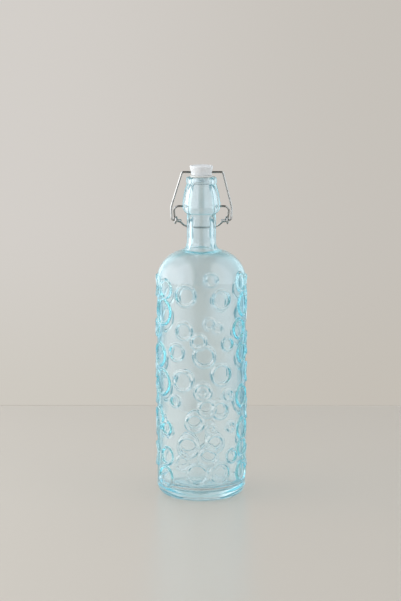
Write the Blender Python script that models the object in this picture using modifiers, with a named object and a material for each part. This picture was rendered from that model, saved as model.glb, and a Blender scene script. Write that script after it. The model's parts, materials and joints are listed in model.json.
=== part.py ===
# Swing-top glass bottle of about one litre, in five pieces: the glass, the stopper, its gasket,
# the bail wire that holds the stopper, and the lever wire that pulls the bail down.
# Metres, +Z up. The origin is the centre of the base, on the surface that the bottle stands on.
# All three axes of the closure run along X, and the lever's handle lies behind the neck, at +Y.

import math

import bmesh
import bpy
from mathutils import Vector

# Mouth, bulge and neck of the glass
BOTTLE_HEIGHT = 0.3036
BORE_RADIUS = 0.0095
MOUTH_ROUND = 0.0020
LIP_RADIUS = 0.0143
LIP_ROUND = 0.0018
LIP_HEIGHT = 0.0062
LIP_GROOVE_DEPTH = 0.0005
LIP_GROOVE_HEIGHT = 0.0020
BULGE_HEIGHT = 0.0300
BULGE_TOP_RADIUS = 0.0143
BULGE_RADIUS = 0.0178
BULGE_WIDEST_SHARE = 0.282
BULGE_FLANK_BOW = 0.0008
BULGE_CHIN_BOW = 0.0010
BULGE_CHIN_SHARE = 0.12
CHIN_FILLET = 0.0020
NECK_RADIUS = 0.0137
NECK_HEIGHT = 0.0319

# Shoulder, body and base of the glass
NECK_FLARE_REACH = 0.0050
NECK_FLARE_HEIGHT = 0.0080
BORE_FLARE_HEIGHT = 0.0140
SHOULDER_HEIGHT = 0.0290
SHOULDER_REACH = 0.0305
BODY_RADIUS = 0.0423
BODY_WALL = 0.0032
HEEL_REACH = 0.0082
HEEL_HEIGHT = 0.0112
REST_WIDTH = 0.0035
PUSH_UP = 0.0042
BASE_THICKNESS = 0.0062
FLOOR_CROWN = 0.0028
FLOOR_RING_SHARE = 0.82

# Rings raised on the body. Each row is a ring: its place round the bottle from the front, as a
# share of a full turn towards +X, its height as a share of the band of rings, and its radius as a
# share of the largest. The larger front rings have twins on the back, a little lower.
RING_LARGEST = 0.0115
RING_WIDTH = 0.0028
RING_RISE = 0.0008
RING_SINK = 0.0006
RING_BAND_FOOT_Z = 0.0170
RING_BAND_DROP = 0.0205
RING_BACK_DROP = 0.0145
RING_TWIN_SHARE = 0.69
RING_FRONT_SHARE = 0.22
RING_SHARES = (
    (-0.06, 0.91, 0.83),
    (0.035, 0.985, 0.50),
    (0.075, 0.89, 0.74),
    (0.175, 0.96, 0.70),
    (0.19, 0.85, 0.83),
    (0.16, 0.74, 0.74),
    (-0.15, 0.93, 0.70),
    (-0.165, 0.82, 1.0),
    (-0.23, 0.73, 0.66),
    (-0.065, 0.74, 0.66),
    (-0.01, 0.69, 0.57),
    (0.01, 0.62, 0.83),
    (0.10, 0.675, 0.50),
    (-0.095, 0.635, 0.66),
    (0.18, 0.62, 0.70),
    (-0.19, 0.61, 0.90),
    (-0.07, 0.50, 0.78),
    (0.075, 0.53, 0.83),
    (0.005, 0.45, 0.66),
    (-0.17, 0.48, 1.0),
    (0.18, 0.41, 0.83),
    (-0.025, 0.30, 0.70),
    (0.07, 0.36, 0.66),
    (0.02, 0.37, 0.66),
    (-0.125, 0.26, 0.50),
    (0.05, 0.20, 0.69),
    (-0.05, 0.18, 0.83),
    (0.025, 0.13, 0.74),
    (-0.015, 0.05, 0.83),
    (0.07, 0.055, 0.81),
    (0.12, 0.13, 0.50),
    (-0.14, 0.125, 0.66),
    (-0.15, 0.02, 0.83),
    (0.18, 0.04, 0.78),
    (0.185, 0.25, 0.83),
    (0.18, 0.16, 0.66),
    (-0.20, 0.30, 0.83),
    (-0.10, 0.40, 0.42),
    (0.25, 0.93, 0.83),
    (0.26, 0.65, 0.90),
    (0.25, 0.51, 0.74),
    (0.26, 0.33, 0.83),
    (0.245, 0.10, 0.83),
    (-0.25, 0.93, 0.83),
    (-0.26, 0.52, 0.66),
    (-0.25, 0.41, 0.83),
    (-0.245, 0.11, 0.90),
)

# Dimples in the sides of the bulge, where the lever turns
DIMPLE_DEPTH = 0.0029
PIVOT_CLEARANCE = 0.0004

# Stopper and gasket
STOPPER_TOP_RADIUS = 0.0109
STOPPER_FOOT_RADIUS = 0.0094
STOPPER_HEAD_HEIGHT = 0.0088
STOPPER_EDGE_ROUND = 0.0009
STOPPER_STEM_RADIUS = 0.0066
STOPPER_NOSE_RADIUS = 0.0078
STOPPER_NOSE_DEPTH = 0.0044
STOPPER_NOSE_HEIGHT = 0.0021
NOSE_LAND_SHARES = (0.7, 0.4)
GASKET_RADIUS = 0.0106
GASKET_HEIGHT = 0.0030
SEAT_GAP = 0.0003

# Bail wire
WIRE_DIAMETER = 0.0019
WIRE_CLEARANCE = 0.0004
BAR_ABOVE_LIP = 0.0044
BAIL_CORNER_LEFT = 0.0182
BAIL_CORNER_RIGHT = 0.0202
BAIL_CORNER_BEND = 0.0018
BAIL_SIDE_BEND = 0.0160
BAIL_HEEL_BEND = 0.0026
BAIL_END_LENGTH = 0.0094
BAIL_EYE_GAP = 0.0009
BAIL_SPREAD = 0.0006

# Lever wire. Each row of its handle's path is a corner: its place across, back and down, as
# shares of the eye's place across, the handle's place behind the neck and its drop from the eye.
LEVER_THROW = 0.0131
LEVER_LEAN = 0.0011
LEVER_REACH = 0.0084
LEVER_BEND = 0.0044
LEVER_EYE_RADIUS = 0.0028
LEVER_EYE_INSET = 0.0010
LEVER_EYE_TAIL_SHARE = 0.45
HANDLE_STANDOFF = 0.0036
HANDLE_DROP = 0.0220
HANDLE_BEND = 0.0050
HANDLE_PATH_SHARES = (
    (0.88, 0.26, 0.22),
    (0.72, 0.54, 0.67),
    (0.54, 0.85, 0.93),
    (0.25, 1.0, 1.0),
    (0.0, 1.0, 1.0),
)

# Facets
GLASS_SIDES = 36
STOPPER_SIDES = 32
CUTTER_SIDES = 16
WIRE_BEVEL_STEPS = 2
ROUND_STEPS = 4
LONG_CURVE_STEPS = 5
SHOULDER_STEPS = 8
EYE_STEPS = 12
RING_STEPS = 10
AXIS_MERGE = 0.00001

# Worked out from the sizes above
WIRE_RADIUS = WIRE_DIAMETER / 2
BULGE_TOP_Z = BOTTLE_HEIGHT - LIP_HEIGHT
BULGE_FOOT_Z = BULGE_TOP_Z - BULGE_HEIGHT
SHOULDER_TOP_Z = BULGE_FOOT_Z - NECK_HEIGHT
PIVOT_Z = BULGE_FOOT_Z + BULGE_WIDEST_SHARE * BULGE_HEIGHT
BAR_Z = BOTTLE_HEIGHT + BAR_ABOVE_LIP
EYE_Y = -LEVER_LEAN
EYE_Z = PIVOT_Z - LEVER_THROW
LEVER_WIDEST = BULGE_RADIUS + LEVER_REACH
EYE_PITCH = WIRE_DIAMETER + WIRE_CLEARANCE
EYE_OUTER_X = LEVER_WIDEST - LEVER_EYE_INSET
EYE_INNER_X = EYE_OUTER_X - EYE_PITCH
BAIL_HEEL_X = EYE_OUTER_X + WIRE_DIAMETER + BAIL_EYE_GAP
BAIL_WIDEST = BAIL_HEEL_X + BAIL_SPREAD


def clear_scene():
    for old in list(bpy.data.objects):
        bpy.data.objects.remove(old)


def collection(name):
    made = bpy.data.collections.new(name)
    bpy.context.scene.collection.children.link(made)
    return made


def material(name, color, roughness, metallic=0.0, transmission=0.0):
    made = bpy.data.materials.new(name)
    made.use_nodes = True
    shader = made.node_tree.nodes["Principled BSDF"]
    shader.inputs["Base Color"].default_value = (*color, 1.0)
    shader.inputs["Roughness"].default_value = roughness
    shader.inputs["Metallic"].default_value = metallic
    shader.inputs["Transmission Weight"].default_value = transmission
    return made


def quarter(start, end, leaves_upright, steps=ROUND_STEPS):
    """Points of a quarter ellipse from start to end, without start. It leaves start upright or level."""
    points = []
    for i in range(1, steps + 1):
        angle = math.pi / 2 * i / steps
        across, along = 1 - math.cos(angle), math.sin(angle)
        share_r, share_z = (across, along) if leaves_upright else (along, across)
        points.append(
            (
                start[0] + share_r * (end[0] - start[0]),
                start[1] + share_z * (end[1] - start[1]),
            )
        )
    return points


def bowed(start, end, bow, steps):
    """Points of an arc from start to end, without start, that stands out by bow from its chord."""
    first, last = Vector(start), Vector(end)
    chord = last - first
    along = chord.normalized()
    outward = Vector((-along.y, along.x))
    half = chord.length / 2
    radius = (half * half + bow * bow) / (2 * bow)
    centre = (first + last) / 2 + outward * (bow - radius)
    sweep = math.asin(half / radius)
    points = []
    for i in range(1, steps + 1):
        angle = sweep * (2 * i / steps - 1)
        spot = centre + radius * (outward * math.cos(angle) + along * math.sin(angle))
        points.append((spot.x, spot.y))
    return points


def turned(name, profile, sides, target, origin_z=0.0):
    """A solid of revolution about Z. Its profile runs down the outer side."""
    mesh = bpy.data.meshes.new(name)
    shape = bmesh.new()
    corners = [shape.verts.new((radius, 0.0, height - origin_z)) for radius, height in profile]
    for upper, lower in zip(corners, corners[1:]):
        shape.edges.new((upper, lower))
    shape.to_mesh(mesh)
    shape.free()
    made = bpy.data.objects.new(name, mesh)
    made.location.z = origin_z
    target.objects.link(made)
    screw = made.modifiers.new("Turn", "SCREW")
    screw.axis = "Z"
    screw.steps = sides
    screw.render_steps = sides
    screw.use_merge_vertices = True
    screw.merge_threshold = AXIS_MERGE
    screw.use_smooth_shade = True
    return made


def bore_across(solid, name, radius, length, middle, cutters):
    """Cuts a round hole along X."""
    bpy.ops.mesh.primitive_cylinder_add(
        vertices=CUTTER_SIDES,
        radius=radius,
        depth=length,
        location=middle,
        rotation=(0.0, math.pi / 2, 0.0),
    )
    cutter = bpy.context.object
    cutter.name = name
    for holder in list(cutter.users_collection):
        holder.objects.unlink(cutter)
    cutters.objects.link(cutter)
    cutter.hide_render = True
    cutter.display_type = "WIRE"
    cut = solid.modifiers.new(name, "BOOLEAN")
    cut.operation = "DIFFERENCE"
    cut.solver = "EXACT"
    cut.object = cutter


def shoulder_z(radius, inset):
    """Height of the shoulder's curve at a radius, outside (inset 0) or inside."""
    centre = BODY_RADIUS - SHOULDER_REACH
    share = (radius - centre) / (SHOULDER_REACH - inset)
    rise = (SHOULDER_HEIGHT - inset) * math.sqrt(max(0.0, 1 - share * share))
    return SHOULDER_TOP_Z - SHOULDER_HEIGHT + rise


def shoulder(from_radius, to_radius, inset, steps):
    """Points of the shoulder's curve, evenly spaced in angle, without the first."""
    reach = SHOULDER_REACH - inset
    centre = BODY_RADIUS - SHOULDER_REACH
    first = math.acos((from_radius - centre) / reach)
    last = math.acos(min(1.0, (to_radius - centre) / reach))
    points = []
    for i in range(1, steps + 1):
        radius = centre + reach * math.cos(first + (last - first) * i / steps)
        points.append((radius, shoulder_z(radius, inset)))
    return points


def inside_profile():
    """From the centre of the floor up to the bore's mouth."""
    wall_radius = BODY_RADIUS - BODY_WALL
    floor_z = PUSH_UP + BASE_THICKNESS
    ring_z = floor_z - FLOOR_CROWN
    ring_radius = FLOOR_RING_SHARE * (BODY_RADIUS - HEEL_REACH - REST_WIDTH)
    flare_radius = BORE_RADIUS + NECK_FLARE_REACH
    bore_foot_z = shoulder_z(flare_radius, BODY_WALL) + BORE_FLARE_HEIGHT
    points = [(0.0, floor_z)]
    points += quarter(points[-1], (ring_radius, ring_z), False)
    points += quarter(points[-1], (wall_radius, ring_z + HEEL_HEIGHT), False)
    points += shoulder(wall_radius, flare_radius, BODY_WALL, SHOULDER_STEPS)
    points += quarter(points[-1], (BORE_RADIUS, bore_foot_z), False)
    points.append((BORE_RADIUS, BOTTLE_HEIGHT - MOUTH_ROUND))
    points += quarter(points[-1], (BORE_RADIUS + MOUTH_ROUND, BOTTLE_HEIGHT), True)
    return points


def bulge_profile():
    """From the top of the lip down to the straight part of the neck."""
    groove_half = LIP_GROOVE_HEIGHT / 2
    chin_radius = NECK_RADIUS + BULGE_CHIN_SHARE * (BULGE_RADIUS - NECK_RADIUS)
    points = [(LIP_RADIUS - LIP_ROUND, BOTTLE_HEIGHT)]
    points += quarter(points[-1], (LIP_RADIUS, BOTTLE_HEIGHT - LIP_ROUND), False)
    points.append((LIP_RADIUS, BULGE_TOP_Z + groove_half))
    points.append((BULGE_TOP_RADIUS - LIP_GROOVE_DEPTH, BULGE_TOP_Z))
    points.append((BULGE_TOP_RADIUS, BULGE_TOP_Z - groove_half))
    points += bowed(points[-1], (BULGE_RADIUS, PIVOT_Z), BULGE_FLANK_BOW, LONG_CURVE_STEPS)
    chin = (chin_radius, BULGE_FOOT_Z + CHIN_FILLET)
    points += bowed(points[-1], chin, BULGE_CHIN_BOW, ROUND_STEPS)
    points += quarter(points[-1], (NECK_RADIUS, BULGE_FOOT_Z), False, ROUND_STEPS // 2)
    return points


def body_profile():
    """From the foot of the neck down to the centre of the base."""
    flare_radius = NECK_RADIUS + NECK_FLARE_REACH
    flare_z = shoulder_z(flare_radius, 0.0)
    rest_radius = BODY_RADIUS - HEEL_REACH
    points = [(NECK_RADIUS, flare_z + NECK_FLARE_HEIGHT)]
    points += quarter(points[-1], (flare_radius, flare_z), True, LONG_CURVE_STEPS)
    points += shoulder(flare_radius, BODY_RADIUS, 0.0, SHOULDER_STEPS)
    points.append((BODY_RADIUS, HEEL_HEIGHT))
    points += quarter(points[-1], (rest_radius, 0.0), True, LONG_CURVE_STEPS)
    points.append((rest_radius - REST_WIDTH, 0.0))
    points += quarter(points[-1], (0.0, PUSH_UP), True)
    return points


def wall_spot(turn, along, out):
    """A place on the outer wall: an angle from the front, a length up the wall, and how far out."""
    wall_top = SHOULDER_TOP_Z - SHOULDER_HEIGHT
    lean = max(0.0, along - wall_top) / SHOULDER_HEIGHT
    radius = BODY_RADIUS - SHOULDER_REACH + (SHOULDER_REACH + out) * math.cos(lean)
    height = min(along, wall_top) + (SHOULDER_HEIGHT + out) * math.sin(lean)
    return Vector((radius * math.sin(turn), -radius * math.cos(turn), height))


def ring_rows():
    """A turn, a height and a size for every ring: the rows given and the twins behind them."""
    band = SHOULDER_TOP_Z - RING_BAND_DROP - RING_BAND_FOOT_Z
    rows = []
    for turn_share, height_share, size_share in RING_SHARES:
        turn, along = 2 * math.pi * turn_share, RING_BAND_FOOT_Z + height_share * band
        rows.append((turn, along, size_share * RING_LARGEST))
        in_front = abs(turn_share) < RING_FRONT_SHARE and size_share > RING_TWIN_SHARE
        if in_front and along - RING_BACK_DROP > RING_BAND_FOOT_Z:
            rows.append((math.pi - turn, along - RING_BACK_DROP, size_share * RING_LARGEST))
    return rows


def make_rings(cutters):
    """Every raised ring as a closed tube of three sides that follows the wall."""
    shape = bmesh.new()
    section = ((RING_WIDTH / 2, -RING_SINK), (0.0, RING_RISE), (-RING_WIDTH / 2, -RING_SINK))
    for turn, middle, radius in ring_rows():
        loops = []
        for i in range(RING_STEPS):
            angle = 2 * math.pi * i / RING_STEPS
            loop = []
            for across, out in section:
                reach = radius + across
                side = reach * math.cos(angle) / BODY_RADIUS
                spot = wall_spot(turn + side, middle + reach * math.sin(angle), out)
                loop.append(shape.verts.new(spot))
            loops.append(loop)
        for loop, after in zip(loops, loops[1:] + loops[:1]):
            for j in range(len(section)):
                k = (j + 1) % len(section)
                shape.faces.new((loop[j], loop[k], after[k], after[j]))
    bmesh.ops.recalc_face_normals(shape, faces=shape.faces)
    mesh = bpy.data.meshes.new("rings")
    shape.to_mesh(mesh)
    shape.free()
    rings = bpy.data.objects.new("rings", mesh)
    cutters.objects.link(rings)
    rings.hide_render = True
    rings.display_type = "WIRE"
    return rings


def make_glass(target, cutters):
    profile = inside_profile() + bulge_profile() + body_profile()
    glass = turned("bottle_glass", profile, GLASS_SIDES, target)
    glass.data.materials.append(material("aqua_glass", (0.70, 0.86, 0.86), 0.03, 0.0, 1.0))
    emboss = glass.modifiers.new("Rings", "BOOLEAN")
    emboss.operation = "UNION"
    emboss.solver = "EXACT"
    emboss.use_self = True
    emboss.object = make_rings(cutters)
    for side, name in ((-1, "dimple_left"), (1, "dimple_right")):
        middle = (side * BULGE_RADIUS, 0.0, PIVOT_Z)
        bore_across(glass, name, WIRE_RADIUS + PIVOT_CLEARANCE, 2 * DIMPLE_DEPTH, middle, cutters)
    return glass


def make_stopper(target, cutters):
    """White head over the lip, with a stem for the gasket and a nose in the bore."""
    foot_z = BOTTLE_HEIGHT + GASKET_HEIGHT / 2 + SEAT_GAP
    top_z = foot_z + STOPPER_HEAD_HEIGHT
    nose_z = BOTTLE_HEIGHT - STOPPER_NOSE_DEPTH
    profile = [(0.0, top_z), (STOPPER_TOP_RADIUS - STOPPER_EDGE_ROUND, top_z)]
    profile += quarter(profile[-1], (STOPPER_TOP_RADIUS, top_z - STOPPER_EDGE_ROUND), False)
    profile.append((STOPPER_FOOT_RADIUS, foot_z))
    profile.append((STOPPER_STEM_RADIUS, foot_z))
    profile.append((STOPPER_STEM_RADIUS, nose_z + STOPPER_NOSE_HEIGHT))
    for share in NOSE_LAND_SHARES:
        profile.append((STOPPER_NOSE_RADIUS, nose_z + share * STOPPER_NOSE_HEIGHT))
    profile += quarter(profile[-1], (STOPPER_STEM_RADIUS, nose_z), True)
    profile.append((0.0, nose_z))
    stopper = turned("stopper", profile, STOPPER_SIDES, target, BAR_Z)
    stopper.data.materials.append(material("white_plastic", (0.90, 0.89, 0.87), 0.35))
    hole_length = 2 * (STOPPER_TOP_RADIUS + WIRE_DIAMETER)
    bore_across(stopper, "bar_hole", WIRE_RADIUS + SEAT_GAP, hole_length, (0.0, 0.0, BAR_Z), cutters)
    return stopper


def make_gasket(target):
    """Rubber ring on the stem, seated on the rounded edge of the mouth."""
    top_z = BOTTLE_HEIGHT + GASKET_HEIGHT / 2
    foot_z = top_z - GASKET_HEIGHT
    hole = STOPPER_STEM_RADIUS + SEAT_GAP
    profile = [(hole, foot_z), (hole, top_z), (GASKET_RADIUS, top_z)]
    profile.append((GASKET_RADIUS, BOTTLE_HEIGHT + SEAT_GAP))
    profile.append((BORE_RADIUS - 2 * SEAT_GAP, foot_z))
    profile.append((hole, foot_z))
    gasket = turned("gasket", profile, STOPPER_SIDES, target, BAR_Z)
    gasket.data.materials.append(material("pale_rubber", (0.78, 0.79, 0.76), 0.55))
    return gasket


def bent(corners, bends):
    """Points along a wire: straight runs between corners, with each inner corner an arc."""
    points = [Vector(corners[0])]
    for before, corner, after, bend in zip(corners, corners[1:], corners[2:], bends):
        corner = Vector(corner)
        come, leave = corner - Vector(before), Vector(after) - corner
        turn = come.angle(leave)
        reach = min(bend * math.tan(turn / 2), come.length / 2, leave.length / 2)
        radius = reach / math.tan(turn / 2)
        inward = (leave.normalized() - come.normalized()).normalized()
        centre = corner + inward * (radius / math.cos(turn / 2))
        first = (corner - come.normalized() * reach - centre).normalized()
        last = (corner + leave.normalized() * reach - centre).normalized()
        for i in range(ROUND_STEPS + 1):
            points.append(centre + first.slerp(last, i / ROUND_STEPS) * radius)
    points.append(Vector(corners[-1]))
    return points


def wire(name, points, origin, target):
    curve = bpy.data.curves.new(name, "CURVE")
    curve.dimensions = "3D"
    curve.bevel_depth = WIRE_RADIUS
    curve.bevel_resolution = WIRE_BEVEL_STEPS
    curve.use_fill_caps = True
    spline = curve.splines.new("POLY")
    spline.points.add(len(points) - 1)
    for point, spot in zip(spline.points, points):
        point.co = (*(spot - origin), 1.0)
    spline.use_smooth = True
    made = bpy.data.objects.new(name, curve)
    made.location = origin
    target.objects.link(made)
    return made


def bail_side(side, corner_x):
    """Corners of one leg of the bail, from the end in the lever's eye up to the bar."""
    side_z = PIVOT_Z - LEVER_EYE_INSET
    lean_share = (side_z - EYE_Z) / (BAR_Z - EYE_Z)
    return [
        (side * (BAIL_HEEL_X - BAIL_END_LENGTH), EYE_Y, EYE_Z),
        (side * BAIL_HEEL_X, EYE_Y, EYE_Z),
        (side * BAIL_WIDEST, EYE_Y * (1 - lean_share), side_z),
        (side * corner_x, 0.0, BAR_Z),
    ]


def make_bail(target):
    left = bail_side(-1, BAIL_CORNER_LEFT)
    right = bail_side(1, BAIL_CORNER_RIGHT)
    bends = [BAIL_HEEL_BEND, BAIL_SIDE_BEND, BAIL_CORNER_BEND]
    points = bent(left + right[::-1], bends + bends[::-1])
    bail = wire("bail_wire", points, Vector((0.0, EYE_Y, EYE_Z)), target)
    bail.data.materials.append(material("bright_steel_bail", (0.62, 0.61, 0.58), 0.28, 1.0))
    return bail


def lever_side(side):
    """Points of one half of the lever, from its tip in the dimple to the middle of the handle."""
    tip_x = BULGE_RADIUS - DIMPLE_DEPTH + WIRE_CLEARANCE
    eye_back = EYE_Y + LEVER_EYE_RADIUS
    arm = bent(
        [
            (tip_x, 0.0, PIVOT_Z),
            (LEVER_WIDEST, 0.0, PIVOT_Z),
            (EYE_OUTER_X, eye_back, EYE_Z + LEVER_EYE_RADIUS),
            (EYE_OUTER_X, eye_back, EYE_Z),
        ],
        [LEVER_BEND, LEVER_BEND],
    )
    eye = []
    for i in range(1, EYE_STEPS):
        angle = 2 * math.pi * i / EYE_STEPS
        across = EYE_OUTER_X - EYE_PITCH * i / EYE_STEPS
        back = EYE_Y + LEVER_EYE_RADIUS * math.cos(angle)
        eye.append(Vector((across, back, EYE_Z - LEVER_EYE_RADIUS * math.sin(angle))))
    tail = LEVER_EYE_TAIL_SHARE * LEVER_EYE_RADIUS
    handle_y = NECK_RADIUS + HANDLE_STANDOFF
    drop = EYE_Z - (PIVOT_Z - HANDLE_DROP)
    corners = [(EYE_INNER_X, eye_back, EYE_Z), (EYE_INNER_X, eye_back, EYE_Z - tail)]
    for across, back, down in HANDLE_PATH_SHARES:
        corners.append((across * EYE_INNER_X, back * handle_y, EYE_Z - down * drop))
    handle = bent(corners, [tail] + [HANDLE_BEND] * (len(corners) - 3))
    return [Vector((side * spot.x, spot.y, spot.z)) for spot in arm + eye + handle]


def make_lever(target):
    left, right = lever_side(-1), lever_side(1)
    lever = wire("lever_wire", left + right[-2::-1], Vector((0.0, 0.0, PIVOT_Z)), target)
    lever.data.materials.append(material("bright_steel_lever", (0.60, 0.59, 0.56), 0.30, 1.0))
    return lever


def hold(child, parent):
    """Parents the child where it stands."""
    bpy.context.view_layer.update()
    child.parent = parent
    child.matrix_parent_inverse = parent.matrix_world.inverted()


def axis_empty(name, spot, target):
    made = bpy.data.objects.new(name, None)
    made.empty_display_size = WIRE_DIAMETER
    made.location = spot
    target.objects.link(made)
    return made


def main():
    clear_scene()
    parts = collection("swing_top_bottle")
    cutters = collection("cutters")
    make_glass(parts, cutters)
    stopper = make_stopper(parts, cutters)
    gasket = make_gasket(parts)
    bail = make_bail(parts)
    lever = make_lever(parts)
    lever_axis = axis_empty("lever_axis", (0.0, 0.0, PIVOT_Z), parts)
    bail_axis = axis_empty("bail_axis", (0.0, EYE_Y, EYE_Z), parts)
    stopper_axis = axis_empty("stopper_axis", (0.0, 0.0, BAR_Z), parts)
    hold(bail_axis, lever_axis)
    hold(stopper_axis, bail_axis)
    hold(lever, lever_axis)
    hold(bail, bail_axis)
    hold(stopper, stopper_axis)
    hold(gasket, stopper_axis)


main()
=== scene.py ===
import bpy
import json
import math
import numpy as np
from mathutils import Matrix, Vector


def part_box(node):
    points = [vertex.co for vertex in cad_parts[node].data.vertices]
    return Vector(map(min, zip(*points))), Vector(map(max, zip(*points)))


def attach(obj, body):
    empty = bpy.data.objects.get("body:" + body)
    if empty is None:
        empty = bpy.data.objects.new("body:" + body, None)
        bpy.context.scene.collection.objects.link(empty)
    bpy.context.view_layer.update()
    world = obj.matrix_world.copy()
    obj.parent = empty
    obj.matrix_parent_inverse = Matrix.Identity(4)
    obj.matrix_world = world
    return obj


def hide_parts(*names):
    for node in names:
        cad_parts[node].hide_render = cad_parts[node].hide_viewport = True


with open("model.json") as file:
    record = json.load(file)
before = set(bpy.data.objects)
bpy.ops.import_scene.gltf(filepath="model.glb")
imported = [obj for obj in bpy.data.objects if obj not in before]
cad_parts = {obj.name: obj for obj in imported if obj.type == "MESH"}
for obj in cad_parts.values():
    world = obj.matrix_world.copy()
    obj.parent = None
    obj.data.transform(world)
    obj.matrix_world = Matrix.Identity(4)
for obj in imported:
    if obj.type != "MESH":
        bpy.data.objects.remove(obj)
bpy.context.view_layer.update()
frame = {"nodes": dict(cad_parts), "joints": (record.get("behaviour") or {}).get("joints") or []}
joints = {joint["name"]: Vector(joint["pos_m"]) for joint in frame["joints"]}
pivot = joints["lever_hinge"]       # where the lever's tips turn in the glass
eye = joints["bail_hinge"]          # where the bail's ends turn in the lever's eyes
bar = joints["stopper_hinge"]       # where the bail's bar goes through the stopper
print("Frame loaded:", ", ".join(sorted(frame["nodes"])))


# Node helpers

def addNode(tree, kind, **values):
    node = tree.nodes.new(kind)
    for key, value in values.items():
        setattr(node, key, value)
    return node


def feed(tree, socket, source):
    # a number or colour is set on the socket itself, and anything else is linked to it
    if isinstance(source, (float, tuple)):
        socket.default_value = source
    else:
        tree.links.new(source, socket)


def newGroup(name, inputs, outputs):
    group = bpy.data.node_groups.new(name, "ShaderNodeTree")
    for label, kind, value in inputs:
        socket = group.interface.new_socket(label, in_out="INPUT", socket_type=kind)
        socket.default_value = value
    for label, kind in outputs:
        group.interface.new_socket(label, in_out="OUTPUT", socket_type=kind)
    start = addNode(group, "NodeGroupInput")
    end = addNode(group, "NodeGroupOutput")
    return group, start, end


def useGroup(tree, group, values):
    node = addNode(tree, "ShaderNodeGroup", node_tree=group)
    for label, value in values.items():
        node.inputs[label].default_value = value
    return node


def newMaterial(name):
    material = bpy.data.materials.new(name)
    material.use_nodes = True
    tree = material.node_tree
    return material, tree, tree.nodes["Principled BSDF"]


def smoothMask(tree, value, low, high):
    # 0 at low, 1 at high, smooth between them
    mask = addNode(tree, "ShaderNodeMapRange", interpolation_type="SMOOTHSTEP")
    mask.inputs["From Min"].default_value = low
    mask.inputs["From Max"].default_value = high
    tree.links.new(value, mask.inputs["Value"])
    return mask.outputs["Result"]


def spreadMask(tree, mask, ends):
    # a mask from 0 to 1, spread between two values
    spread = addNode(tree, "ShaderNodeMapRange")
    spread.inputs["To Min"].default_value, spread.inputs["To Max"].default_value = ends
    tree.links.new(mask, spread.inputs["Value"])
    return spread.outputs["Result"]


def mixColors(tree, factor, first, second):
    mix = addNode(tree, "ShaderNodeMix", data_type="RGBA")
    tree.links.new(factor, mix.inputs["Factor"])
    feed(tree, mix.inputs["A"], first)
    feed(tree, mix.inputs["B"], second)
    return mix.outputs["Result"]


def joinMath(tree, operation, first, second):
    node = addNode(tree, "ShaderNodeMath", operation=operation)
    feed(tree, node.inputs[0], first)
    feed(tree, node.inputs[1], second)
    return node.outputs["Value"]


def noiseOf(tree, scale, detail):
    # noise in the object's own coordinates
    place = addNode(tree, "ShaderNodeTexCoord")
    noise = addNode(tree, "ShaderNodeTexNoise")
    noise.inputs["Detail"].default_value = detail
    feed(tree, noise.inputs["Scale"], scale)
    tree.links.new(place.outputs["Object"], noise.inputs["Vector"])
    return noise


def backgroundOf(tree, color, strength):
    node = addNode(tree, "ShaderNodeBackground")
    node.inputs["Strength"].default_value = strength
    feed(tree, node.inputs["Color"], color)
    return node.outputs["Background"]


def chooseShader(tree, factor, first, second):
    mix = addNode(tree, "ShaderNodeMixShader")
    tree.links.new(factor, mix.inputs["Fac"])
    tree.links.new(first, mix.inputs[1])
    tree.links.new(second, mix.inputs[2])
    return mix.outputs["Shader"]


# Effects that several materials share

handling = {
    "detail": 5.0,
    "distortion": 0.6,
    "clearBelow": 0.42,
    "fullAbove": 0.72,
}

unevenness = {
    "waveDetail": 1.5,
    "grainDetail": 3.0,
}


def makeHandling():
    # faint smears and dust from handling: a mask from 0 to 1
    group, start, end = newGroup(
        "handlingMarks",
        [("Scale", "NodeSocketFloat", 60.0), ("Amount", "NodeSocketFloat", 0.5)],
        [("Mask", "NodeSocketFloat")],
    )
    broad = noiseOf(group, start.outputs["Scale"], handling["detail"])
    broad.inputs["Distortion"].default_value = handling["distortion"]
    sharpen = addNode(group, "ShaderNodeMapRange")
    sharpen.inputs["From Min"].default_value = handling["clearBelow"]
    sharpen.inputs["From Max"].default_value = handling["fullAbove"]
    group.links.new(broad.outputs["Fac"], sharpen.inputs["Value"])
    mask = joinMath(group, "MULTIPLY", sharpen.outputs["Result"], start.outputs["Amount"])
    group.links.new(mask, end.inputs["Mask"])
    return group


def makeUneven():
    # a surface that isn't quite true: a normal from soft waves with a finer grain on top
    group, start, end = newGroup(
        "unevenSurface",
        [
            ("Wave Scale", "NodeSocketFloat", 60.0),
            ("Grain Scale", "NodeSocketFloat", 900.0),
            ("Grain Share", "NodeSocketFloat", 0.2),
            ("Strength", "NodeSocketFloat", 0.2),
            ("Depth", "NodeSocketFloat", 0.0002),
        ],
        [("Normal", "NodeSocketVector")],
    )
    wave = noiseOf(group, start.outputs["Wave Scale"], unevenness["waveDetail"])
    grain = noiseOf(group, start.outputs["Grain Scale"], unevenness["grainDetail"])
    both = addNode(group, "ShaderNodeMath", operation="MULTIPLY_ADD")
    bump = addNode(group, "ShaderNodeBump")
    group.links.new(grain.outputs["Fac"], both.inputs[0])
    group.links.new(start.outputs["Grain Share"], both.inputs[1])
    group.links.new(wave.outputs["Fac"], both.inputs[2])
    group.links.new(both.outputs["Value"], bump.inputs["Height"])
    group.links.new(start.outputs["Strength"], bump.inputs["Strength"])
    group.links.new(start.outputs["Depth"], bump.inputs["Distance"])
    group.links.new(bump.outputs["Normal"], end.inputs["Normal"])
    return group


handlingMarks = makeHandling()
unevenSurface = makeUneven()
print("Shared effects ready")


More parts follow.
